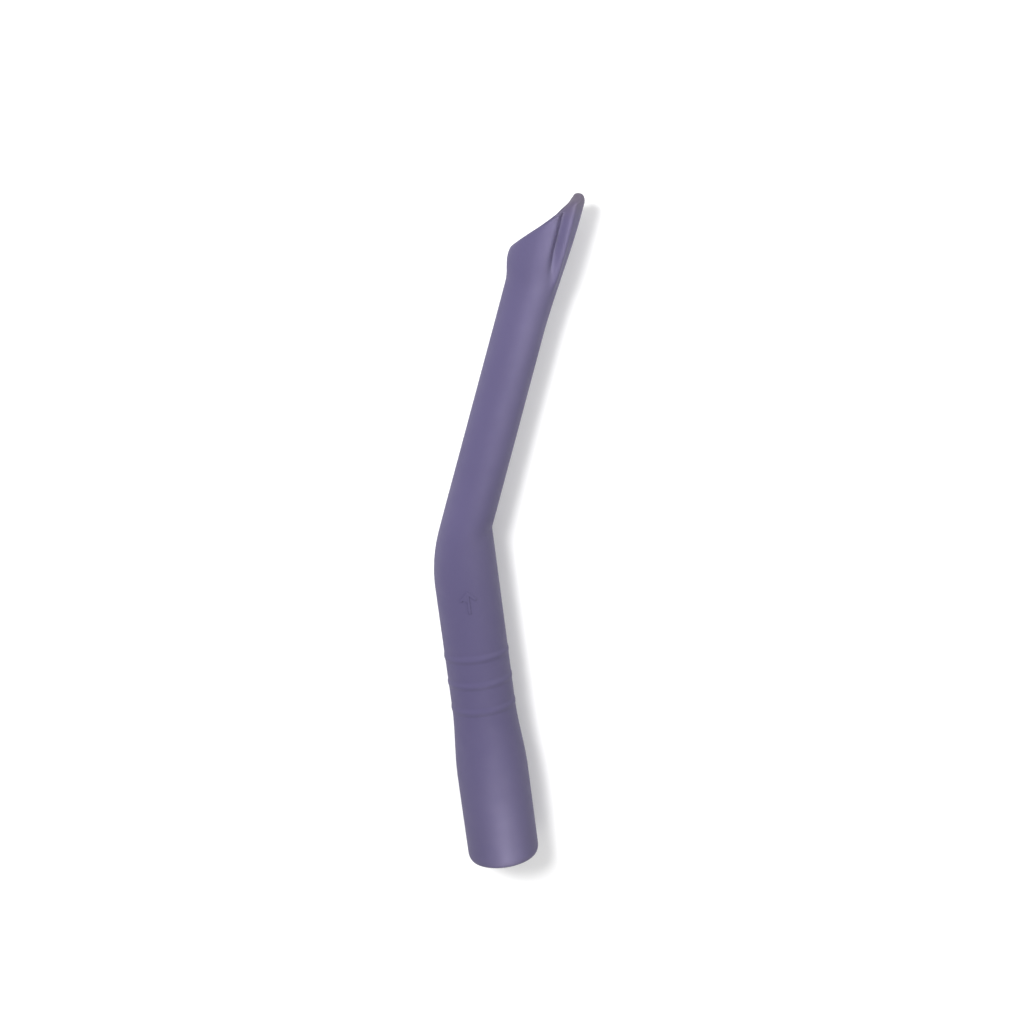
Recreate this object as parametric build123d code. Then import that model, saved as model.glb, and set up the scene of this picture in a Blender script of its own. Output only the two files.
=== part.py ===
from build123d import *
import os
from math import cos, radians, sin

# Bent aspirator tip for a 16 mm dental suction handpiece, in millimetres.
#
# The tip lies on its side, with its plane of symmetry at z = 0. The origin is the centre of the plug's open end.
# The plug and the grip run along +Y, and the elbow turns the slimmer cannula towards +X, up to a bevelled mouth
# with a short grooved spout. It is one hollow moulding, written here as the sections that it is made of, which
# meet face to face.

# Plug and grip, along +Y
PLUG_RADIUS = 8.0
PLUG_BORE = 6.7
PLUG_LENGTH = 20.0
LIP_OUTER = 0.4
LIP_INNER = 0.3
GRIP_RADIUS = 7.05
GRIP_BORE = 5.8
GRIP_START = 36.5
GRIP_END = 54.5

# Raised grip rings
RING_COUNT = 3
RING_PITCH = 6.0
RING_WIDTH = 1.9
RING_HEIGHT = 0.14
RING_SEAT = 0.45

# Elbow: the two axes cross at ELBOW_Y, and the blend is long outside and almost sharp inside
ELBOW_Y = 73.2
BEND = radians(22.2)
BLEND_INSIDE = 0.5
BLEND_OUTSIDE = 6.7
BLEND_SECTIONS = 7

# The tube's height across the bend falls slowly, measured along its two axes
SIDE_TAPER_START = 64.0
SIDE_TAPER_END = 108.0

# Cannula, along the axis after the elbow. Heights on it are measured from where the axes cross.
CANNULA_START = 9.0
CANNULA_END = 49.0
CANNULA_FOOT_RADIUS = 5.5
CANNULA_HEAD_RADIUS = 5.35
CANNULA_BORE = 4.35
CANNULA_STATIONS = 6

# Mouth
WALL = CANNULA_HEAD_RADIUS - CANNULA_BORE
MOUTH_TOP = 78.1
BACK_FLARE = 1.08
HEEL_FLARE = 0.9
SIDE_FLARE = 0.5
TIP_WALL_EXTRA = 1.5
MOUTH_STATIONS = (CANNULA_END, 53.0, 56.5, 59.5, 62.5, 66.0, 70.0, 75.0, 80.0)
BACK_RISE = (48.0, 74.0)
HEEL_RISE = (57.0, 62.5)
SIDE_RISE = (56.0, 66.0)
TIP_WALL_RISE = (68.0, 78.0)

# The rim as seen from the side: across the cannula's axis, and along it
BEVEL_HEEL = (-9.0, 60.6)
BEVEL_END = (1.2, 72.27)
SPOUT_EDGE = ((2.54, 74.35), (3.4, 76.3), (3.8, 77.5))
SPOUT_CROWN = (4.85, MOUTH_TOP)
SPOUT_BACK = (6.0, 77.4)
SPOUT_BACK_FOOT = 69.0

# The spout's end as seen from its back
SPOUT_HALF_WIDTH = 6.0
SPOUT_ROUND_START = 71.0

# Grooves beside the spout, as round cutters that lean into the wall
GROOVE_RADIUS = 1.5
GROOVE_FOOT = 60.0
GROOVE_FOOT_ANGLE = radians(58)
GROOVE_HEAD_ANGLE = radians(68)
GROOVE_HEAD_DEPTH = 1.6

# Orientation arrow on the side of the elbow
ARROW_Y = 61.3
ARROW_LENGTH = 4.6
ARROW_WIDTH = 3.4
ARROW_STROKE = 0.55
ARROW_HEIGHT = 0.18
ARROW_SEAT = 0.35

AXIS = Vector(sin(BEND), cos(BEND), 0)
ACROSS = Vector(cos(BEND), -sin(BEND), 0)
ELBOW = Vector(0, ELBOW_Y, 0)


def smooth(value, start, end):
    """0 before start, 1 after end, and an S-curve between them."""
    x = min(1.0, max(0.0, (value - start) / (end - start)))
    return x * x * (3 - 2 * x)


def cannula_plane(height):
    """The plane square to the cannula's axis at a height above the elbow's centre."""
    return Plane(origin=ELBOW + AXIS * height, x_dir=ACROSS, z_dir=AXIS)


def straight_tube(plane, outer, inner, length):
    """A plain tube that starts on a plane and runs along its normal."""
    return extrude(plane * (Circle(outer) - Circle(inner)), amount=length)


def ring_height(index):
    """The height of a grip ring's middle, counted from the plug."""
    return GRIP_START + index * RING_PITCH


def grip_ring(index):
    """A round-topped band that sits in a shallow seat in the wall."""
    middle = ring_height(index)
    half = RING_WIDTH / 2
    seat = GRIP_RADIUS - RING_SEAT
    with BuildSketch() as profile:
        with BuildLine():
            Line((seat, middle - half), (GRIP_RADIUS, middle - half))
            ThreePointArc(
                (GRIP_RADIUS, middle - half),
                (GRIP_RADIUS + RING_HEIGHT, middle),
                (GRIP_RADIUS, middle + half),
            )
            Line((GRIP_RADIUS, middle + half), (seat, middle + half))
            Line((seat, middle + half), (seat, middle - half))
        make_face()
    return revolve(profile.sketch, axis=Axis.Y)


def ring_seat(index):
    """The space that a grip ring takes from the wall around it."""
    foot = Plane(origin=(0, ring_height(index) - RING_WIDTH / 2, 0), x_dir=(1, 0, 0), z_dir=(0, 1, 0))
    return straight_tube(foot, GRIP_RADIUS + 1, GRIP_RADIUS - RING_SEAT, RING_WIDTH)


def connector_plug():
    """The plug that enters the handpiece, with its neck down to the grip's size."""
    with BuildSketch() as profile:
        with BuildLine():
            Line((PLUG_BORE + LIP_INNER, 0), (PLUG_RADIUS - LIP_OUTER, 0))
            RadiusArc((PLUG_RADIUS - LIP_OUTER, 0), (PLUG_RADIUS, LIP_OUTER), -LIP_OUTER)
            Line((PLUG_RADIUS, LIP_OUTER), (PLUG_RADIUS, PLUG_LENGTH))
            Spline(
                (PLUG_RADIUS, PLUG_LENGTH),
                (GRIP_RADIUS, GRIP_START),
                tangents=((0, 1), (0, 1)),
            )
            Line((GRIP_RADIUS, GRIP_START), (GRIP_BORE, GRIP_START))
            Spline(
                (GRIP_BORE, GRIP_START),
                (PLUG_BORE, PLUG_LENGTH),
                tangents=((0, -1), (0, -1)),
            )
            Line((PLUG_BORE, PLUG_LENGTH), (PLUG_BORE, LIP_INNER))
            RadiusArc((PLUG_BORE, LIP_INNER), (PLUG_BORE + LIP_INNER, 0), -LIP_INNER)
        make_face()
    return revolve(profile.sketch, axis=Axis.Y) - ring_seat(0)


def grip_tube():
    """The straight tube that carries the grip rings."""
    foot = Plane(origin=(0, GRIP_START, 0), x_dir=(1, 0, 0), z_dir=(0, 1, 0))
    tube = straight_tube(foot, GRIP_RADIUS, GRIP_BORE, GRIP_END - GRIP_START)
    for index in range(RING_COUNT):
        tube = tube - ring_seat(index)
    return tube


def side_radius(path, grip, cannula):
    """The tube's half-height across the bend, at a distance along its two axes."""
    return grip + (cannula - grip) * smooth(path, SIDE_TAPER_START, SIDE_TAPER_END)


def bend_sections(grip_radius, cannula_radius, head_radius):
    """The faces of the bend for one skin, from its outside or its hole.

    At every angle around the tube the skin runs straight up the grip, turns through a cubic curve and runs
    straight up the cannula. The turn is short on the inside of the bend and long on the outside, so every
    section is an ellipse in a plane of its own.
    """
    mean = (BLEND_OUTSIDE + BLEND_INSIDE) / 2
    swing = (BLEND_OUTSIDE - BLEND_INSIDE) / 2
    reach = (grip_radius - cannula_radius * cos(BEND)) / sin(BEND)
    rise = reach * cos(BEND) - cannula_radius * sin(BEND)
    up = Vector(0, 1, 0)
    side = ACROSS * cannula_radius
    centres = (
        ELBOW - up * mean,
        ELBOW - up * (mean / 3),
        ELBOW + AXIS * (mean / 3),
        ELBOW + AXIS * mean,
    )
    long_axes = (
        Vector(grip_radius, rise + swing, 0),
        Vector(grip_radius, rise + swing / 3, 0),
        side + AXIS * (reach - swing / 3),
        side + AXIS * (reach - swing),
    )
    faces = []
    for step in range(BLEND_SECTIONS):
        w = step / (BLEND_SECTIONS - 1)
        weights = ((1 - w) ** 3, 3 * w * (1 - w) ** 2, 3 * w * w * (1 - w), w**3)
        centre = sum((c * k for c, k in zip(centres, weights)), Vector(0, 0, 0))
        long_axis = sum((a * k for a, k in zip(long_axes, weights)), Vector(0, 0, 0))
        height = side_radius(ELBOW_Y + mean * (2 * w - 1), grip_radius, head_radius)
        plane = Plane(origin=centre, x_dir=long_axis, z_dir=long_axis.cross(Vector(0, 0, -1)))
        faces.append(plane * Ellipse(long_axis.length, height))
    return faces


def bend_solid(grip_radius, cannula_radius, head_radius):
    """A filled bend for one skin, from the foot of the elbow section to its head."""
    faces = bend_sections(grip_radius, cannula_radius, head_radius)
    foot = Plane(origin=(0, GRIP_END, 0), x_dir=(1, 0, 0), z_dir=(0, 1, 0)) * Circle(grip_radius)
    height = side_radius(ELBOW_Y + CANNULA_START, grip_radius, head_radius)
    head = cannula_plane(CANNULA_START) * Ellipse(cannula_radius, height)
    return loft([foot, faces[0]], ruled=True) + loft(faces) + loft([faces[-1], head], ruled=True)


def orientation_arrow_blank():
    """The outline of the arrow that points at the mouth, as a tall prism over the side of the elbow."""
    tip = ARROW_Y + ARROW_LENGTH / 2
    tail = ARROW_Y - ARROW_LENGTH / 2
    wing = ARROW_WIDTH / 2
    with BuildSketch() as outline:
        for points in (((0, tail), (0, tip)), ((-wing, tip - wing), (0, tip), (wing, tip - wing))):
            with BuildLine() as stroke:
                Polyline(*points)
            trace(stroke.line, line_width=ARROW_STROKE)
    return extrude(outline.sketch, amount=GRIP_RADIUS * 2)


def orientation_arrow():
    """The raised arrow, which follows the round of the wall and sits in a shallow seat."""
    foot = Plane(origin=(0, ARROW_Y - ARROW_LENGTH, 0), x_dir=(1, 0, 0), z_dir=(0, 1, 0))
    shell = straight_tube(
        foot, GRIP_RADIUS + ARROW_HEIGHT, GRIP_RADIUS - ARROW_SEAT, ARROW_LENGTH * 2
    )
    return orientation_arrow_blank() & shell


def elbow():
    """The bend between the grip and the cannula."""
    outside = bend_solid(GRIP_RADIUS, CANNULA_FOOT_RADIUS, CANNULA_HEAD_RADIUS)
    return outside - bend_solid(GRIP_BORE, CANNULA_BORE, CANNULA_BORE) - orientation_arrow()


def cannula_solid(grip_radius, foot_radius, head_radius):
    """A filled cannula for one skin, which grows round and slim on its way to the mouth."""
    faces = []
    for step in range(CANNULA_STATIONS):
        share = step / (CANNULA_STATIONS - 1)
        along = CANNULA_START + (CANNULA_END - CANNULA_START) * share
        across = foot_radius + (head_radius - foot_radius) * share
        height = side_radius(ELBOW_Y + along, grip_radius, head_radius)
        faces.append(cannula_plane(along) * Ellipse(across, height))
    return loft(faces)


def cannula_tube():
    """The long slim tube between the elbow and the mouth."""
    outside = cannula_solid(GRIP_RADIUS, CANNULA_FOOT_RADIUS, CANNULA_HEAD_RADIUS)
    return outside - cannula_solid(GRIP_BORE, CANNULA_BORE, CANNULA_BORE)


def mouth_reach(height):
    """How far the mouth's outside reaches from the cannula's axis: at its heel, its back and its sides."""
    heel = CANNULA_HEAD_RADIUS + HEEL_FLARE * smooth(height, *HEEL_RISE)
    back = CANNULA_HEAD_RADIUS + BACK_FLARE * smooth(height, *BACK_RISE)
    side = CANNULA_HEAD_RADIUS + SIDE_FLARE * smooth(height, *SIDE_RISE)
    return heel, back, side


def groove_cutter(turn, inset):
    """A round cutter that leaves a groove on one side of the spout, or the ridge inside it."""
    ends = []
    for height, angle, depth in (
        (GROOVE_FOOT, GROOVE_FOOT_ANGLE, 0.0),
        (MOUTH_TOP, GROOVE_HEAD_ANGLE, GROOVE_HEAD_DEPTH),
    ):
        reach = mouth_reach(height)[1] - depth + GROOVE_RADIUS
        at_angle = ACROSS * (reach * cos(angle)) + Vector(0, 0, turn * reach * sin(angle))
        ends.append(ELBOW + AXIS * height + at_angle)
    run = (ends[1] - ends[0]).normalized()
    foot = Plane(origin=ends[0] - run * GROOVE_FOOT / 4, z_dir=run)
    return extrude(foot * Circle(GROOVE_RADIUS + inset), amount=GROOVE_FOOT)


def mouth_form(inset):
    """The mouth's outside where inset is 0, or the space inside a wall that is inset thick."""
    faces = []
    for height in MOUTH_STATIONS:
        heel, back, side = mouth_reach(height)
        if inset:
            back -= TIP_WALL_EXTRA * smooth(height, *TIP_WALL_RISE)
        plane = cannula_plane(height)
        plane.origin = plane.origin + ACROSS * ((back - heel) / 2)
        faces.append(plane * Ellipse((back + heel) / 2 - inset, side - inset))
    form = loft(faces)
    for turn in (-1, 1):
        form = form - groove_cutter(turn, inset)
    return form


def side_outline():
    """The mouth as seen from its side: a straight bevel that hollows into the spout, with a round end."""
    side = Plane(origin=ELBOW, x_dir=ACROSS, z_dir=(0, 0, 1))
    heel_x = BEVEL_HEEL[0]
    with BuildSketch(side) as profile:
        with BuildLine():
            Line((heel_x, CANNULA_END), BEVEL_HEEL)
            Line(BEVEL_HEEL, BEVEL_END)
            Spline(BEVEL_END, *SPOUT_EDGE, tangents=((0.66, 0.75), (0.25, 1)))
            ThreePointArc(SPOUT_EDGE[-1], SPOUT_CROWN, SPOUT_BACK)
            Line(SPOUT_BACK, (-heel_x, SPOUT_BACK_FOOT))
            Line((-heel_x, SPOUT_BACK_FOOT), (-heel_x, CANNULA_END))
            Line((-heel_x, CANNULA_END), (heel_x, CANNULA_END))
        make_face()
    return extrude(profile.sketch, amount=10, both=True)


def spout_outline():
    """The spout's rounded end as seen from its back, with all of the mouth below it."""
    front = Plane(origin=ELBOW, x_dir=(0, 0, 1), z_dir=-ACROSS)
    with BuildSketch(front) as profile:
        with Locations((0, (CANNULA_END + SPOUT_ROUND_START) / 2)):
            Rectangle(20, SPOUT_ROUND_START - CANNULA_END)
        with Locations((0, SPOUT_ROUND_START)):
            Ellipse(SPOUT_HALF_WIDTH, MOUTH_TOP - SPOUT_ROUND_START)
    return extrude(profile.sketch, amount=12, both=True)


def mouth_scoop():
    """The flared, bevelled mouth, with a groove on each side of its spout."""
    body = mouth_form(0) - mouth_form(WALL)
    return (body & side_outline()) & spout_outline()


NODES = {
    "connector_plug": connector_plug,
    "grip_tube": grip_tube,
    "elbow": elbow,
    "orientation_arrow": orientation_arrow,
    "cannula_tube": cannula_tube,
    "mouth_scoop": mouth_scoop,
}


def main():
    os.makedirs("parts", exist_ok=True)
    for name, make in NODES.items():
        export_step(make(), f"parts/{name}.step")
    for index in range(RING_COUNT):
        export_step(grip_ring(index), f"parts/grip_ring_{index + 1}.step")


main()
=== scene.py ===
"""A bent suction tip for a dental aspirator, built section by section around its CAD frame.

The tip lies on its side. Its plug and grip run along +Y, and its cannula leans towards +X. Every section
is one closed skin: columns of points run up the outside, over the rim or the end face, and back down the
inside, and the columns stand side by side around the section's axis. All lengths are in metres.
"""
import math

import bmesh
import bpy
from bpy.props import FloatProperty, FloatVectorProperty, IntProperty, PointerProperty
from bpy.types import Operator, Panel, PropertyGroup
from mathutils import Matrix, Vector


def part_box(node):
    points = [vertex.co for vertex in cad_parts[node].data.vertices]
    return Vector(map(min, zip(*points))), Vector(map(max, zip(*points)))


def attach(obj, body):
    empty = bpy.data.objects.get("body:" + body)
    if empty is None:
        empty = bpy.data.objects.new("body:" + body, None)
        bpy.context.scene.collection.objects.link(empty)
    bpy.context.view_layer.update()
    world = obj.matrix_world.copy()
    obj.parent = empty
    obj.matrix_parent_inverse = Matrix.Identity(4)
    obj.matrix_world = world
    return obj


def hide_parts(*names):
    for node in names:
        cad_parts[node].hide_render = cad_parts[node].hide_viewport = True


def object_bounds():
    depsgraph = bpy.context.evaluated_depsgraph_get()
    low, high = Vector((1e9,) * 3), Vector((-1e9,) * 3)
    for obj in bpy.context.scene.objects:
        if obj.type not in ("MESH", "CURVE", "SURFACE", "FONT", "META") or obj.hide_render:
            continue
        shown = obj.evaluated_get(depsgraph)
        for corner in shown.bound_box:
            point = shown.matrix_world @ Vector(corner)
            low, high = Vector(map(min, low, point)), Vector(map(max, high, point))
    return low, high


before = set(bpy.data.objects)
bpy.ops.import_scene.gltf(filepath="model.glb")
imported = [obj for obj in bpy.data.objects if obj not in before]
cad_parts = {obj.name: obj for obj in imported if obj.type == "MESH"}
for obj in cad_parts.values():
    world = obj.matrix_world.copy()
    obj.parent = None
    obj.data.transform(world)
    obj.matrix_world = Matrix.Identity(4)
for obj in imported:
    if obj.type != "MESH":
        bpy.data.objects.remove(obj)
cad_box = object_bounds()

bl_info = {
    "name": "Bent Suction Tip",
    "version": (1, 0, 0),
    "blender": (4, 5, 0),
    "location": "View3D > Sidebar > Suction Tip",
    "description": "Builds a bent dental suction tip with raised grip rings and a scooped mouth",
    "category": "Add Mesh",
}

MM = 0.001
RING_NODES = ("grip_ring_1", "grip_ring_2", "grip_ring_3")
SIDE_OUT = Vector((0, 0, 1))
PLUG_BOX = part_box("connector_plug")
GRIP_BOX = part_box("grip_tube")
ARROW_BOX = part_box("orientation_arrow")

# How finely the sections are cut along their length.
LIP_STEPS = 10
INNER_LIP_STEPS = 5
NECK_STEPS = 24
NECK_BORE_STEPS = 20
RING_STEPS = 20
STRAIGHT_STEPS = 6
TURN_STEPS = 28
CANNULA_STEPS = 30

# The band of a noise pattern that is used, and how far back from the spout's end a painted grey sheen
# reaches.
NOISE_LOW, NOISE_HIGH = 0.3, 0.7
GREY_SHEEN_LENGTH = 6 * MM
GREY_SHEEN_SHARE = 0.85

# The stage: the lens and the sensor are in millimetres, and the rest is in metres.
CAMERA_LENS = 49.2
CAMERA_SENSOR = 36
CAMERA_PLACE = (11.733 * MM, 139.19 * MM, 297.38 * MM)
CAMERA_LOOK = (0, -0.19969, -0.97986)
CAMERA_ROLL = math.radians(-7.34)
FLOOR_HALF = 3.0
WORLD_STRENGTH = 0.72
SHEEN_COLOUR = (0.93, 0.88, 1.0)
SHEEN_SPREAD = math.radians(50)


# ---------------------------------------------------------------- properties


class TipSizes(PropertyGroup):
    """The sizes of the moulding that are not read straight from the frame."""

    columns: IntProperty(
        name="Columns", description="Columns of points around every section", default=216, min=24
    )
    plug_bore: FloatProperty(
        name="Plug Bore", description="Radius of the hole in the plug", default=6.7 * MM, unit="LENGTH"
    )
    plug_straight: FloatProperty(
        name="Plug Straight", description="Length of the plug before it necks in", default=20 * MM,
        unit="LENGTH",
    )
    lip_outer: FloatProperty(
        name="Outer Lip", description="How far the plug's outer edge rolls in", default=0.8 * MM,
        unit="LENGTH",
    )
    lip_length: FloatProperty(
        name="Outer Lip Length", description="Length of the plug over which its outer edge rolls in",
        default=1.8 * MM, unit="LENGTH",
    )
    lip_inner: FloatProperty(
        name="Inner Lip", description="Rounding of the plug's inner edge", default=0.3 * MM, unit="LENGTH"
    )
    grip_bore: FloatProperty(
        name="Grip Bore", description="Radius of the hole in the grip", default=5.8 * MM, unit="LENGTH"
    )
    ring_seat: FloatProperty(
        name="Ring Seat", description="Depth of the seat under a grip ring", default=0.45 * MM, unit="LENGTH"
    )
    ring_bead: FloatProperty(
        name="Ring Bead", description="Width of a ring's soft bead, as a share of the frame's ring",
        default=1.15, min=0.5, max=2,
    )
    ring_rise: FloatProperty(
        name="Ring Rise", description="How far a ring stands out of the grip's top and bottom",
        default=0.30 * MM, unit="LENGTH",
    )
    elbow_height: FloatProperty(
        name="Elbow Height", description="Where the two axes cross, from the plug's end",
        default=73.2 * MM, unit="LENGTH",
    )
    bend: FloatProperty(
        name="Bend", description="Angle between the grip and the cannula", default=math.radians(22.2),
        subtype="ANGLE",
    )
    blend_inside: FloatProperty(
        name="Blend Inside", description="Length of the blend on the inside of the bend",
        default=0.5 * MM, unit="LENGTH",
    )
    blend_outside: FloatProperty(
        name="Blend Outside", description="Length of the blend on the outside of the bend",
        default=6.7 * MM, unit="LENGTH",
    )
    taper_start: FloatProperty(
        name="Taper Start", description="Where the tube's height starts to fall, along the axes",
        default=64 * MM, unit="LENGTH",
    )
    taper_end: FloatProperty(
        name="Taper End", description="Where the tube's height stops falling, along the axes",
        default=108 * MM, unit="LENGTH",
    )
    cannula_start: FloatProperty(
        name="Cannula Start", description="Foot of the cannula, from where the axes cross",
        default=9 * MM, unit="LENGTH",
    )
    cannula_end: FloatProperty(
        name="Cannula End", description="Head of the cannula, from where the axes cross",
        default=49 * MM, unit="LENGTH",
    )
    cannula_foot: FloatProperty(
        name="Cannula Foot", description="Outer radius at the cannula's foot", default=5.5 * MM,
        unit="LENGTH",
    )
    cannula_head: FloatProperty(
        name="Cannula Head", description="Outer radius at the cannula's head", default=5.35 * MM,
        unit="LENGTH",
    )
    cannula_bore: FloatProperty(
        name="Cannula Bore", description="Radius of the hole in the cannula", default=4.35 * MM,
        unit="LENGTH",
    )


class MouthSizes(PropertyGroup):
    """The sizes of the flared and bevelled mouth."""

    bevel_height: FloatProperty(
        name="Bevel Height", description="Where the bevel crosses the axis, from where the axes cross",
        default=70.9 * MM, unit="LENGTH",
    )
    bevel_slope: FloatProperty(
        name="Bevel Slope", description="Rise of the bevel for each metre across", default=1.144
    )
    back_flare: FloatProperty(
        name="Back Flare", description="How far the spout's back leans out", default=1.08 * MM,
        unit="LENGTH",
    )
    heel_flare: FloatProperty(
        name="Heel Flare", description="How far the low side of the rim rolls out", default=0.95 * MM,
        unit="LENGTH",
    )
    side_flare: FloatProperty(
        name="Side Flare", description="How far the sides lean out", default=0.5 * MM, unit="LENGTH"
    )
    groove_depth: FloatProperty(
        name="Groove Depth", description="Depth of the groove on each side of the spout",
        default=1.25 * MM, unit="LENGTH",
    )
    groove_steep: FloatProperty(
        name="Groove Steep Side", description="Angle taken by a groove's steep side, towards the heel",
        default=math.radians(10), subtype="ANGLE",
    )
    groove_gentle: FloatProperty(
        name="Groove Gentle Side", description="Angle taken by a groove's gentle side, towards the back",
        default=math.radians(11), subtype="ANGLE",
    )
    groove_foot: FloatProperty(
        name="Groove Foot", description="Angle from the spout's back where a groove fades in",
        default=math.radians(54.5), subtype="ANGLE",
    )
    groove_head: FloatProperty(
        name="Groove Head", description="Angle from the spout's back where a groove meets the rim",
        default=math.radians(62), subtype="ANGLE",
    )
    ridge_height: FloatProperty(
        name="Ridge Height", description="Height of the ridge between a groove and the spout's back",
        default=0.5 * MM, unit="LENGTH",
    )
    ridge_offset: FloatProperty(
        name="Ridge Offset", description="Angle from a groove to its ridge", default=math.radians(15),
        subtype="ANGLE",
    )
    ridge_width: FloatProperty(
        name="Ridge Width", description="Half the angle that a ridge takes up", default=math.radians(9),
        subtype="ANGLE",
    )
    tip_extra: FloatProperty(
        name="Tip Extra", description="Extra wall behind the end of the spout", default=1.6 * MM,
        unit="LENGTH",
    )
    rim_corner: FloatProperty(
        name="Rim Corner", description="Length of the rim's outer rounding at the heel and the spout's end",
        default=1.8 * MM, unit="LENGTH",
    )
    rim_side: FloatProperty(
        name="Rim Side", description="Length of the rim's outer rounding along the bevel",
        default=0.45 * MM, unit="LENGTH",
    )
    rim_inner: FloatProperty(
        name="Inner Rim", description="Length of the rim's inner rounding, as a share of the wall",
        default=0.3, min=0, max=1, subtype="FACTOR",
    )
    rim_crest: FloatProperty(
        name="Rim Crest", description="Share of the wall outside the rim's crest", default=0.5, min=0, max=1,
        subtype="FACTOR",
    )


class TipFinish(PropertyGroup):
    """The colours and the surface of the moulded plastic."""

    plastic: FloatVectorProperty(
        name="Plastic", description="Main colour of the plastic", subtype="COLOR", size=3, min=0, max=1,
        default=(0.0695, 0.0593, 0.1275),
    )
    plastic_deep: FloatVectorProperty(
        name="Deep Plastic", description="Colour where the plastic is a little denser", subtype="COLOR",
        size=3, min=0, max=1, default=(0.0645, 0.055, 0.119),
    )
    # Painted sheen: a greyer colour for the spout's end, painted into the plastic in place of the pale
    # surround's reflection.
    plastic_sheen_grey: FloatVectorProperty(
        name="Sheened Plastic", description="Greyer colour of the rubbed end of the spout", subtype="COLOR",
        size=3, min=0, max=1, default=(0.076, 0.060, 0.085),
    )
    roughness: FloatProperty(
        name="Roughness", description="Roughness of the satin surface", default=0.66, min=0, max=1,
        subtype="FACTOR",
    )
    grain: FloatProperty(
        name="Grain", description="Height of the fine moulded grain", default=0.012 * MM, unit="LENGTH"
    )
    floor: FloatVectorProperty(
        name="Floor", description="Colour of the floor", subtype="COLOR", size=3, min=0, max=1,
        default=(0.90, 0.90, 0.90),
    )


# ---------------------------------------------------------------- shape helpers


def smooth(value, start, end):
    """0 before start, 1 after end, and an S-curve between them."""
    x = min(1.0, max(0.0, (value - start) / (end - start)))
    return x * x * (3 - 2 * x)


def angles(count):
    """Evenly spaced angles around a section, from the inside of the bend."""
    return [2 * math.pi * step / count for step in range(count)]


def spread(start, end, steps):
    """Evenly spaced values, both ends included."""
    return [start + (end - start) * step / steps for step in range(steps + 1)]


def plug_point(angle, along, radius):
    """A point around the plug's axis."""
    return Vector((radius * math.cos(angle), along, radius * math.sin(angle)))


class Cannula:
    """The cannula's axis, and points around it."""

    def __init__(self, sizes):
        self.corner = Vector((0, sizes.elbow_height, 0))
        self.axis = Vector((math.sin(sizes.bend), math.cos(sizes.bend), 0))
        self.across = Vector((math.cos(sizes.bend), -math.sin(sizes.bend), 0))

    def point(self, along, across, side):
        """A point by its height on the axis, and its distances towards the back and to the side."""
        return self.corner + self.axis * along + self.across * across + SIDE_OUT * side


def skin(name, node, columns, sharp=math.radians(40)):
    """A closed skin through columns of points, in place of a CAD node."""
    mesh = bpy.data.meshes.new(name)
    rows = len(columns[0])
    points = [point for column in columns for point in column]
    faces = []
    for at, column in enumerate(columns):
        beside = (at + 1) % len(columns)
        for row in range(rows):
            above = (row + 1) % rows
            faces.append((at * rows + row, at * rows + above, beside * rows + above, beside * rows + row))
    mesh.from_pydata(points, [], faces)
    return finish_piece(name, node, mesh, sharp)


def finish_piece(name, node, mesh, sharp):
    """Shades a mesh, gives it the plastic, and puts it in the place of its CAD node."""
    work = bmesh.new()
    work.from_mesh(mesh)
    bmesh.ops.recalc_face_normals(work, faces=work.faces)
    work.to_mesh(mesh)
    work.free()
    mesh.shade_smooth()
    mesh.set_sharp_from_angle(angle=sharp)
    piece = bpy.data.objects.new(name, mesh)
    bpy.context.scene.collection.objects.link(piece)
    mesh.materials.append(plastic_material())
    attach(piece, "root")
    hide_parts(node)
    return piece


# ---------------------------------------------------------------- materials


def link_nodes(tree, source, output, target, socket):
    """Joins a node's output to another node's input, both by name."""
    tree.links.new(source.outputs[output], target.inputs[socket])


def noise_node(tree, coordinates, scale, detail, roughness=0.5):
    """A noise pattern in the tip's own coordinates."""
    noise = tree.nodes.new("ShaderNodeTexNoise")
    noise.inputs["Scale"].default_value = scale
    noise.inputs["Detail"].default_value = detail
    noise.inputs["Roughness"].default_value = roughness
    link_nodes(tree, coordinates, "Object", noise, "Vector")
    return noise


def range_node(tree, noise, to_low, to_high):
    """Maps a noise pattern's middle band to a range."""
    mapped = tree.nodes.new("ShaderNodeMapRange")
    mapped.inputs["From Min"].default_value = NOISE_LOW
    mapped.inputs["From Max"].default_value = NOISE_HIGH
    mapped.inputs["To Min"].default_value = to_low
    mapped.inputs["To Max"].default_value = to_high
    link_nodes(tree, noise, "Fac", mapped, "Value")
    return mapped


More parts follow.
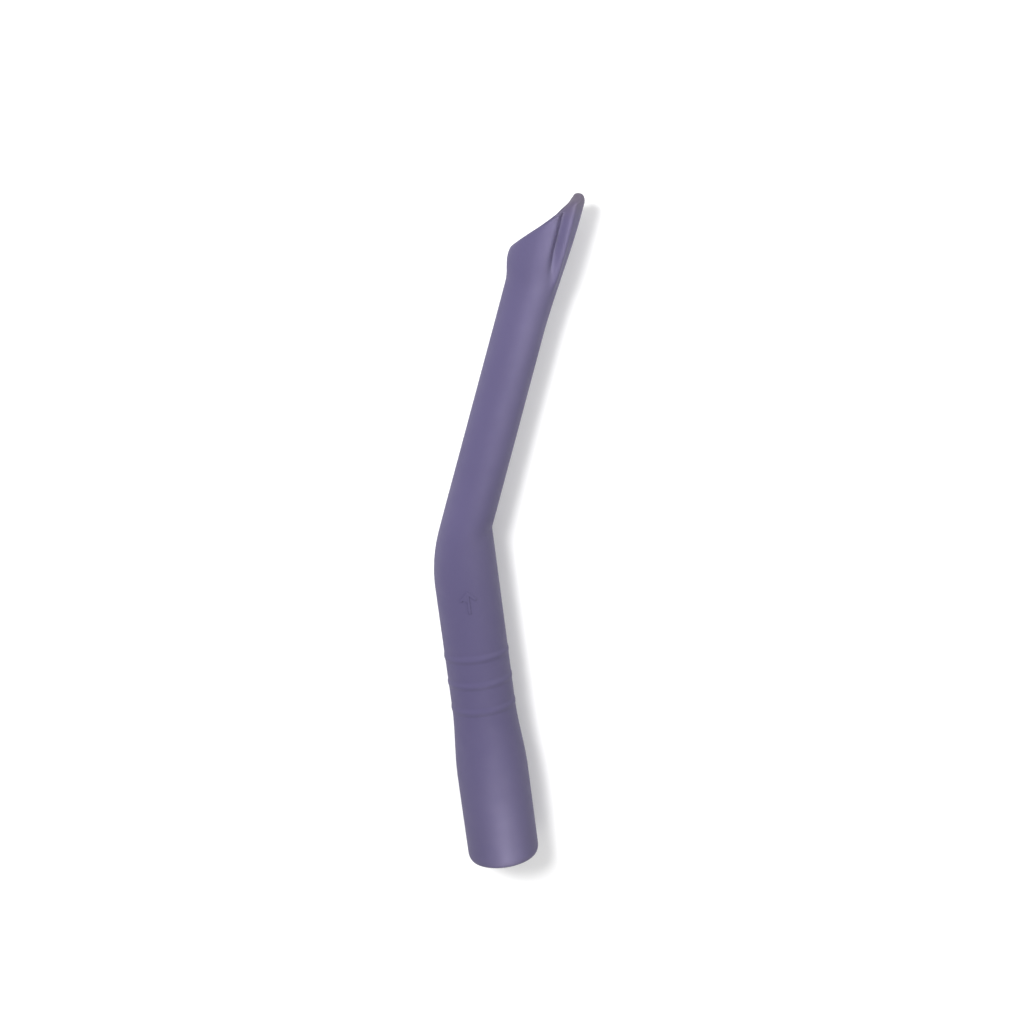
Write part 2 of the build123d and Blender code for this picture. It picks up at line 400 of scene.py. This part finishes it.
def plastic_material():
    """Satin moulded plastic: a soft change of colour, a painted grey sheen at the spout's end, and a fine
    grain.
    """
    name = "satin_lavender_plastic"
    if name in bpy.data.materials:
        return bpy.data.materials[name]
    finish = bpy.context.scene.tip_finish
    material = bpy.data.materials.new(name)
    material.use_nodes = True
    tree = material.node_tree
    shader = tree.nodes["Principled BSDF"]
    coordinates = tree.nodes.new("ShaderNodeTexCoord")

    cloud = noise_node(tree, coordinates, scale=60, detail=3)
    share = range_node(tree, cloud, 0, 1)
    colour = tree.nodes.new("ShaderNodeMix")
    colour.data_type = "RGBA"
    colour.inputs["A"].default_value = (*finish.plastic_deep, 1)
    colour.inputs["B"].default_value = (*finish.plastic, 1)
    tree.links.new(share.outputs["Result"], colour.inputs["Factor"])

    place = tree.nodes.new("ShaderNodeSeparateXYZ")
    link_nodes(tree, coordinates, "Object", place, "Vector")
    # Painted sheen: over the last few millimetres before the spout's end, the colour is mixed towards the
    # greyer sheen colour.
    sheened = tree.nodes.new("ShaderNodeMapRange")
    sheened.interpolation_type = "SMOOTHSTEP"
    sheened.inputs["From Min"].default_value = cad_box[1].y - GREY_SHEEN_LENGTH
    sheened.inputs["From Max"].default_value = cad_box[1].y
    sheened.inputs["To Max"].default_value = GREY_SHEEN_SHARE
    link_nodes(tree, place, "Y", sheened, "Value")
    sheen_tint = tree.nodes.new("ShaderNodeMix")
    sheen_tint.data_type = "RGBA"
    sheen_tint.inputs["B"].default_value = (*finish.plastic_sheen_grey, 1)
    tree.links.new(sheened.outputs["Result"], sheen_tint.inputs["Factor"])
    tree.links.new(colour.outputs["Result"], sheen_tint.inputs["A"])
    tree.links.new(sheen_tint.outputs["Result"], shader.inputs["Base Color"])

    rub = noise_node(tree, coordinates, scale=260, detail=4)
    rough = range_node(tree, rub, finish.roughness - 0.04, finish.roughness + 0.05)
    tree.links.new(rough.outputs["Result"], shader.inputs["Roughness"])

    grain = noise_node(tree, coordinates, scale=2600, detail=2, roughness=0.6)
    bump = tree.nodes.new("ShaderNodeBump")
    bump.inputs["Strength"].default_value = 1
    bump.inputs["Distance"].default_value = finish.grain
    link_nodes(tree, grain, "Fac", bump, "Height")
    link_nodes(tree, bump, "Normal", shader, "Normal")

    shader.inputs["Specular IOR Level"].default_value = 0.4
    return material


def floor_material():
    """Matt white board with the faintest mottle."""
    finish = bpy.context.scene.tip_finish
    material = bpy.data.materials.new("white_board")
    material.use_nodes = True
    tree = material.node_tree
    shader = tree.nodes["Principled BSDF"]
    coordinates = tree.nodes.new("ShaderNodeTexCoord")
    mottle = noise_node(tree, coordinates, scale=12, detail=2)
    rough = range_node(tree, mottle, 0.85, 0.95)
    tree.links.new(rough.outputs["Result"], shader.inputs["Roughness"])
    shader.inputs["Base Color"].default_value = (*finish.floor, 1)
    shader.inputs["Specular IOR Level"].default_value = 0.1
    return material


# ---------------------------------------------------------------- sections of the tip


def ring_reach(node, sizes):
    """The foot and the head of a ring's bead, on the plug's axis."""
    low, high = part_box(node)
    middle, half = (low.y + high.y) / 2, (high.y - low.y) / 2 * sizes.ring_bead
    return middle - half, middle + half


def turned(name, node, profile, sizes):
    """A piece turned about the plug's axis, from pairs of height and radius."""
    columns = [[plug_point(a, along, radius) for along, radius in profile] for a in angles(sizes.columns)]
    return skin(name, node, columns)


class TIP_OT_plug(Operator):
    """Build the plug that enters the handpiece, with its neck"""

    bl_idname = "suction_tip.plug"
    bl_label = "Connector Plug"

    def execute(self, context):
        sizes = context.scene.tip_sizes
        inner_lip = sizes.lip_inner
        radius, length = PLUG_BOX[1].x, PLUG_BOX[1].y
        grip_radius = GRIP_BOX[1].x
        ring_foot = ring_reach(RING_NODES[0], sizes)[0]
        seat = grip_radius - sizes.ring_seat
        profile = []
        for turn in spread(0, math.pi / 2, LIP_STEPS):
            rolled = sizes.lip_outer * (1 - math.sin(turn))
            profile.append((sizes.lip_length * (1 - math.cos(turn)), radius - rolled))
        for along in spread(sizes.plug_straight, ring_foot, NECK_STEPS):
            share = smooth(along, sizes.plug_straight, length)
            profile.append((along, radius + (grip_radius - radius) * share))
        profile += [(ring_foot, seat), (length, seat)]
        for along in spread(length, sizes.plug_straight, NECK_BORE_STEPS):
            share = smooth(along, sizes.plug_straight, length)
            profile.append((along, sizes.plug_bore + (sizes.grip_bore - sizes.plug_bore) * share))
        for turn in spread(0, math.pi / 2, INNER_LIP_STEPS):
            rounded = inner_lip * (1 - math.cos(turn))
            profile.append((inner_lip * (1 - math.sin(turn)), sizes.plug_bore + rounded))
        turned("connector_plug_skin", "connector_plug", profile, sizes)
        return {"FINISHED"}


class TIP_OT_grip(Operator):
    """Build the straight grip, with a seat for each raised ring"""

    bl_idname = "suction_tip.grip"
    bl_label = "Grip Tube"

    def execute(self, context):
        sizes = context.scene.tip_sizes
        radius, foot, head = GRIP_BOX[1].x, GRIP_BOX[0].y, GRIP_BOX[1].y
        seat = radius - sizes.ring_seat
        profile = []
        for node in RING_NODES:
            low, high = ring_reach(node, sizes)
            if low > foot:
                profile += [(low, radius), (low, seat)]
            else:
                profile.append((foot, seat))
            profile += [(high, seat), (high, radius)]
        profile += [(head, radius), (head, sizes.grip_bore), (foot, sizes.grip_bore)]
        turned("grip_tube_skin", "grip_tube", profile, sizes)
        return {"FINISHED"}


class TIP_OT_rings(Operator):
    """Build the raised rings that stop the fingers from slipping"""

    bl_idname = "suction_tip.rings"
    bl_label = "Grip Rings"

    def execute(self, context):
        sizes = context.scene.tip_sizes
        radius = GRIP_BOX[1].x
        seat = radius - sizes.ring_seat
        for node in RING_NODES:
            low, high = ring_reach(node, sizes)
            side_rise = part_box(node)[1].x - radius
            columns = []
            for angle in angles(sizes.columns):
                rise = side_rise + (sizes.ring_rise - side_rise) * math.sin(angle) ** 2
                column = [plug_point(angle, low, seat)]
                for share in spread(0, 1, RING_STEPS):
                    out = radius + rise * math.sin(math.pi * share) ** 2
                    column.append(plug_point(angle, low + (high - low) * share, out))
                columns.append(column + [plug_point(angle, high, seat)])
            skin(f"{node}_skin", node, columns)
        return {"FINISHED"}


def side_radius(sizes, path, grip, cannula):
    """The tube's half-height across the bend, at a distance along its two axes."""
    return grip + (cannula - grip) * smooth(path, sizes.taper_start, sizes.taper_end)


def bend_path(angle, sizes, grip, foot_radius, head_radius):
    """Up one side of the elbow: along the grip, through a cubic turn, and along the cannula."""
    cannula = Cannula(sizes)
    mean = (sizes.blend_outside + sizes.blend_inside) / 2
    swing = (sizes.blend_outside - sizes.blend_inside) / 2
    reach = (grip - foot_radius * math.cos(sizes.bend)) / math.sin(sizes.bend)
    rise = reach * math.cos(sizes.bend) - foot_radius * math.sin(sizes.bend)
    turn = math.cos(angle)

    def on_grip(back):
        along = sizes.elbow_height - mean * back + (rise + swing * back) * turn
        return plug_point(0, along, grip * turn)

    def on_cannula(ahead):
        return cannula.point(mean * ahead + (reach - swing * ahead) * turn, foot_radius * turn, 0)

    start, first = on_grip(1), on_grip(1 / 3)
    second, end = on_cannula(1 / 3), on_cannula(1)
    end_path = sizes.elbow_height + (end - cannula.corner).dot(cannula.axis)
    path = []
    for along in spread(GRIP_BOX[1].y, start.y, STRAIGHT_STEPS)[:-1]:
        path.append((plug_point(0, along, grip * turn), along))
    for w in spread(0, 1, TURN_STEPS):
        lower = start * (1 - w) ** 3 + first * (3 * w * (1 - w) ** 2)
        upper = second * (3 * w * w * (1 - w)) + end * w**3
        path.append((lower + upper, start.y + (end_path - start.y) * w))
    for along in spread(end_path - sizes.elbow_height, sizes.cannula_start, STRAIGHT_STEPS)[1:]:
        path.append((cannula.point(along, foot_radius * turn, 0), sizes.elbow_height + along))
    side = math.sin(angle)
    return [point + SIDE_OUT * side * side_radius(sizes, at, grip, head_radius) for point, at in path]


class TIP_OT_elbow(Operator):
    """Build the bend between the grip and the cannula, long outside and almost sharp inside"""

    bl_idname = "suction_tip.elbow"
    bl_label = "Elbow"

    def execute(self, context):
        sizes = context.scene.tip_sizes
        columns = []
        for angle in angles(sizes.columns):
            outside = bend_path(angle, sizes, GRIP_BOX[1].x, sizes.cannula_foot, sizes.cannula_head)
            inside = bend_path(angle, sizes, sizes.grip_bore, sizes.cannula_bore, sizes.cannula_bore)
            columns.append(outside + inside[::-1])
        skin("elbow_skin", "elbow", columns)
        return {"FINISHED"}


class TIP_OT_cannula(Operator):
    """Build the slim tube that grows round on its way to the mouth"""

    bl_idname = "suction_tip.cannula"
    bl_label = "Cannula"

    def execute(self, context):
        sizes = context.scene.tip_sizes
        cannula = Cannula(sizes)
        outside = []
        inside = []
        for share in spread(0, 1, CANNULA_STEPS):
            along = sizes.cannula_start + (sizes.cannula_end - sizes.cannula_start) * share
            path = sizes.elbow_height + along
            across = sizes.cannula_foot + (sizes.cannula_head - sizes.cannula_foot) * share
            outside.append((along, across, side_radius(sizes, path, GRIP_BOX[1].x, sizes.cannula_head)))
            side = side_radius(sizes, path, sizes.grip_bore, sizes.cannula_bore)
            inside.append((along, sizes.cannula_bore, side))
        profile = outside + inside[::-1]
        columns = []
        for angle in angles(sizes.columns):
            turn, swing = math.cos(angle), math.sin(angle)
            columns.append([cannula.point(along, x * turn, z * swing) for along, x, z in profile])
        skin("cannula_tube_skin", "cannula_tube", columns)
        return {"FINISHED"}


class MouthShape:
    """The mouth's outside and its wall, at any angle from the spout's back and any height."""

    HEEL_RISE = (57 * MM, 62.3 * MM)
    BACK_RISE = (48 * MM, 74 * MM)
    SIDE_RISE = (56 * MM, 66 * MM)
    WALL_RISE = (67 * MM, 77 * MM)
    GROOVE_RISE = (58.2 * MM, 67 * MM)
    GROOVE_RUN = (60.5 * MM, 74 * MM)
    RIDGE_RISE = (55.5 * MM, 61 * MM)
    RIDGE_FALL = (63 * MM, 73 * MM)
    RIDGE_LOSS = 0.5
    GROOVE_OVERRUN = 1.2
    THICK_FROM = 0.25
    CREST_SHIFT = (-0.3, 0.6)
    CORNER_POWER = 8
    SETTLING_STEPS = 12
    ROWS = 44
    OUTER_RIM_STEPS = 12
    INNER_RIM_STEPS = 10

    def __init__(self, sizes, mouth):
        self.sizes = sizes
        self.mouth = mouth
        self.cannula = Cannula(sizes)
        self.wall = sizes.cannula_head - sizes.cannula_bore

    def groove(self, angle, along):
        """How deep the groove beside the spout is, or how high its ridge stands, as a negative depth."""
        mouth = self.mouth
        foot, head = self.GROOVE_RUN
        rise = min(self.GROOVE_OVERRUN, max(0.0, (along - foot) / (head - foot)))
        middle = mouth.groove_foot + (mouth.groove_head - mouth.groove_foot) * rise
        turn = min(angle, 2 * math.pi - angle)
        width = mouth.groove_steep if turn > middle else mouth.groove_gentle
        depth = mouth.groove_depth * smooth(along, *self.GROOVE_RISE)
        height = mouth.ridge_height * smooth(along, *self.RIDGE_RISE)
        height *= 1 - self.RIDGE_LOSS * smooth(along, *self.RIDGE_FALL)
        from_ridge = (turn - middle + mouth.ridge_offset) / mouth.ridge_width
        return depth * math.exp(-(((turn - middle) / width) ** 2)) - height * math.exp(-(from_ridge**2))

    def wall_at(self, angle, along):
        """The wall's thickness, which grows behind the end of the spout."""
        extra = max(0.0, math.cos(angle) - self.THICK_FROM) / (1 - self.THICK_FROM)
        return self.wall + self.mouth.tip_extra * extra * smooth(along, *self.WALL_RISE)

    def reach(self, angle, along, depth):
        """Distances towards the back and to the side, at a depth below the outside."""
        sizes, mouth = self.sizes, self.mouth
        heel = sizes.cannula_head + mouth.heel_flare * smooth(along, *self.HEEL_RISE)
        back = sizes.cannula_head + mouth.back_flare * smooth(along, *self.BACK_RISE)
        side = sizes.cannula_head + mouth.side_flare * smooth(along, *self.SIDE_RISE)
        below = depth + self.groove(angle, along)
        across = (back - heel) / 2 + ((back + heel) / 2 - below) * math.cos(angle)
        return across, (side - below) * math.sin(angle)

    def rim_height(self, angle):
        """The height of the rim's crest, on a straight bevel."""
        mouth = self.mouth
        height = mouth.bevel_height
        to_crest = mouth.rim_crest * smooth(-math.cos(angle), *self.CREST_SHIFT)
        for _ in range(self.SETTLING_STEPS):
            across, _side = self.reach(angle, height, self.wall_at(angle, height) * to_crest)
            height = mouth.bevel_height + mouth.bevel_slope * across
        return height

    def column(self, angle):
        """Up the outside, over the round rim, and down the inside."""
        sizes, mouth = self.sizes, self.mouth
        crest = self.rim_height(angle)
        outer = mouth.rim_side + (mouth.rim_corner - mouth.rim_side) * math.cos(angle) ** self.CORNER_POWER
        inner = mouth.rim_inner * self.wall_at(angle, crest)
        places = [(along, 0.0) for along in spread(sizes.cannula_end, crest - outer, self.ROWS)[:-1]]
        for turn in spread(0, math.pi / 2, self.OUTER_RIM_STEPS):
            places.append((crest - outer * (1 - math.sin(turn)), mouth.rim_crest * (1 - math.cos(turn))))
        for turn in spread(math.pi / 2, 0, self.INNER_RIM_STEPS)[1:]:
            share = mouth.rim_crest + (1 - mouth.rim_crest) * math.cos(turn)
            places.append((crest - inner * (1 - math.sin(turn)), share))
        places += [(along, 1.0) for along in spread(crest - inner, sizes.cannula_end, self.ROWS)[1:]]
        column = []
        for along, share in places:
            across, side = self.reach(angle, along, share * self.wall_at(angle, along))
            column.append(self.cannula.point(along, across, side))
        return column


class TIP_OT_mouth(Operator):
    """Build the flared and bevelled mouth, with a groove on each side of its spout"""

    bl_idname = "suction_tip.mouth"
    bl_label = "Mouth Scoop"

    def execute(self, context):
        shape = MouthShape(context.scene.tip_sizes, context.scene.mouth_sizes)
        columns = [shape.column(a) for a in angles(context.scene.tip_sizes.columns)]
        skin("mouth_scoop_skin", "mouth_scoop", columns)
        return {"FINISHED"}


def arrow_outline(length, width, stroke):
    """An arrow with open wings, pointing along +Y, anticlockwise from its tail."""
    half = stroke / 2
    diagonal = stroke / math.sqrt(2)
    tip = length / 2
    wing = width / 2
    right = [
        (half, -tip),
        (half, tip - half - 2 * diagonal),
        (wing - diagonal, tip - wing - diagonal),
        (wing, tip - wing),
        (0, tip),
    ]
    left = [(-x, y) for x, y in reversed(right[:-1])]
    return right + left


def shrink(outline, distance, mitre_limit=0.3):
    """An outline drawn in by the same distance along every edge."""
    result = []
    for at, point in enumerate(outline):
        before, here, after = (Vector(p) for p in (outline[at - 1], point, outline[(at + 1) % len(outline)]))
        into, away = (here - before).normalized(), (after - here).normalized()
        normal_in, normal_out = Vector((-into.y, into.x)), Vector((-away.y, away.x))
        mitre = (normal_in + normal_out).normalized()
        result.append(tuple(here + mitre * (distance / max(mitre_limit, mitre.dot(normal_in)))))
    return result


def cut_edges(outline, steps):
    """An outline with every edge cut into the same number of steps."""
    result = []
    for at, start in enumerate(outline):
        end = outline[(at + 1) % len(outline)]
        result += [tuple(Vector(start).lerp(Vector(end), step / steps)) for step in range(steps)]
    return result


class TIP_OT_arrow(Operator):
    """Build the small raised arrow that points at the mouth"""

    bl_idname = "suction_tip.arrow"
    bl_label = "Orientation Arrow"

    STROKE = 0.55 * MM
    EDGE_STEPS = 8
    # How far each level is drawn in, and its rise as a share of the arrow's height.
    LEVELS = ((0.0, -1.0), (0.0, 0.7), (0.03 * MM, 0.95), (0.08 * MM, 1.0))

    def execute(self, context):
        low, high = ARROW_BOX
        radius = GRIP_BOX[1].x
        height = high.z - radius
        middle = (low.y + high.y) / 2
        outline = arrow_outline(high.y - low.y, high.x - low.x, self.STROKE)
        work = bmesh.new()
        loops = []
        for inset, share in self.LEVELS:
            loop = []
            out = radius + share * height
            for x, y in cut_edges(shrink(outline, inset), self.EDGE_STEPS):
                turn = x / radius
                loop.append(work.verts.new((out * math.sin(turn), middle + y, out * math.cos(turn))))
            loops.append(loop)
        for lower, upper in zip(loops, loops[1:]):
            for at in range(len(lower)):
                after = (at + 1) % len(lower)
                work.faces.new((lower[at], lower[after], upper[after], upper[at]))
        for loop in (loops[0], loops[-1]):
            cap = work.faces.new(loop)
            bmesh.ops.triangulate(work, faces=[cap])
        mesh = bpy.data.meshes.new("orientation_arrow_skin")
        work.to_mesh(mesh)
        work.free()
        finish_piece("orientation_arrow_skin", "orientation_arrow", mesh, math.radians(50))
        return {"FINISHED"}


# ---------------------------------------------------------------- stage


def softbox(name, place, target, size, power):
    """A square studio light that faces a point."""
    light = bpy.data.lights.new(name, "AREA")
    light.shape = "SQUARE"
    light.size = size
    light.energy = power
    lamp = bpy.data.objects.new(name, light)
    lamp.location = place
    lamp.rotation_euler = (Vector(target) - Vector(place)).to_track_quat("-Z", "Y").to_euler()
    bpy.context.scene.collection.objects.link(lamp)
    return lamp


def sheen_light(name, place, target, size, power):
    """A faintly violet light that only adds a sheen to the plastic."""
    lamp = softbox(name, place, target, size, power)
    lamp.data.color = SHEEN_COLOUR
    lamp.data.spread = SHEEN_SPREAD
    lamp.visible_diffuse = False
    lamp.visible_camera = False


class TIP_OT_stage(Operator):
    """Set the camera, the floor and the soft studio light"""

    bl_idname = "suction_tip.stage"
    bl_label = "Stage"

    def execute(self, context):
        scene = context.scene
        low, high = cad_box

        view = bpy.data.cameras.new("camera")
        view.lens = CAMERA_LENS
        view.sensor_width = CAMERA_SENSOR
        camera = bpy.data.objects.new("camera", view)
        look = Vector(CAMERA_LOOK).normalized()
        level = Vector((1, 0, 0))
        rise = level.cross(look)
        right = level * math.cos(CAMERA_ROLL) + rise * math.sin(CAMERA_ROLL)
        up = rise * math.cos(CAMERA_ROLL) - level * math.sin(CAMERA_ROLL)
        turn = Matrix((right, up, -look)).transposed()
        camera.matrix_world = Matrix.Translation(CAMERA_PLACE) @ turn.to_4x4()
        scene.collection.objects.link(camera)
        scene.camera = camera

        mesh = bpy.data.meshes.new("floor")
        half = FLOOR_HALF
        corners = [(-half, -half), (half, -half), (half, half), (-half, half)]
        mesh.from_pydata([(x, y, low.z) for x, y in corners], [], [(0, 1, 2, 3)])
        mesh.materials.append(floor_material())
        floor = bpy.data.objects.new("floor", mesh)
        scene.collection.objects.link(floor)

        middle = (low + high) / 2
        mouth = Vector((high.x, high.y, middle.z))
        plug = Vector((0, low.y, middle.z))
        key = softbox(
            "key_light", place=middle + Vector((-0.125, 0.14, 0.28)), target=middle, size=0.105, power=1.28
        )
        key.visible_glossy = False
        softbox(
            "side_light", place=middle + Vector((0.42, 0.16, 0.27)), target=middle + Vector((0, 0.06, 0)),
            size=0.30, power=0.75,
        )
        sheen_light(
            "mouth_sheen", place=mouth + Vector((0.08, 0.02, 0.12)), target=mouth, size=0.11, power=0.10
        )
        sheen_light(
            "plug_sheen", place=plug + Vector((0.012, -0.035, 0.06)), target=plug, size=0.05, power=0.02
        )

        world = bpy.data.worlds.new("studio")
        world.use_nodes = True
        background = world.node_tree.nodes["Background"]
        background.inputs["Color"].default_value = (1, 1, 1, 1)
        background.inputs["Strength"].default_value = WORLD_STRENGTH
        scene.world = world
        scene.view_settings.view_transform = "Standard"
        return {"FINISHED"}


class TIP_PT_panel(Panel):
    """The steps that build the tip"""

    bl_label = "Suction Tip"
    bl_idname = "TIP_PT_panel"
    bl_space_type = "VIEW_3D"
    bl_region_type = "UI"
    bl_category = "Suction Tip"

    def draw(self, context):
        for operator in OPERATORS:
            self.layout.operator(operator.bl_idname)


OPERATORS = (
    TIP_OT_stage,
    TIP_OT_plug,
    TIP_OT_grip,
    TIP_OT_rings,
    TIP_OT_elbow,
    TIP_OT_arrow,
    TIP_OT_cannula,
    TIP_OT_mouth,
)
GROUPS = (("tip_sizes", TipSizes), ("mouth_sizes", MouthSizes), ("tip_finish", TipFinish))


def register():
    for name, group in GROUPS:
        bpy.utils.register_class(group)
        setattr(bpy.types.Scene, name, PointerProperty(type=group))
    for operator in OPERATORS:
        bpy.utils.register_class(operator)
    bpy.utils.register_class(TIP_PT_panel)


def unregister():
    bpy.utils.unregister_class(TIP_PT_panel)
    for operator in reversed(OPERATORS):
        bpy.utils.unregister_class(operator)
    for name, group in reversed(GROUPS):
        delattr(bpy.types.Scene, name)
        bpy.utils.unregister_class(group)


def main():
    register()
    for operator in OPERATORS:
        step = operator.bl_idname.split(".")[1]
        getattr(bpy.ops.suction_tip, step)()


if __name__ == "__main__":
    main()
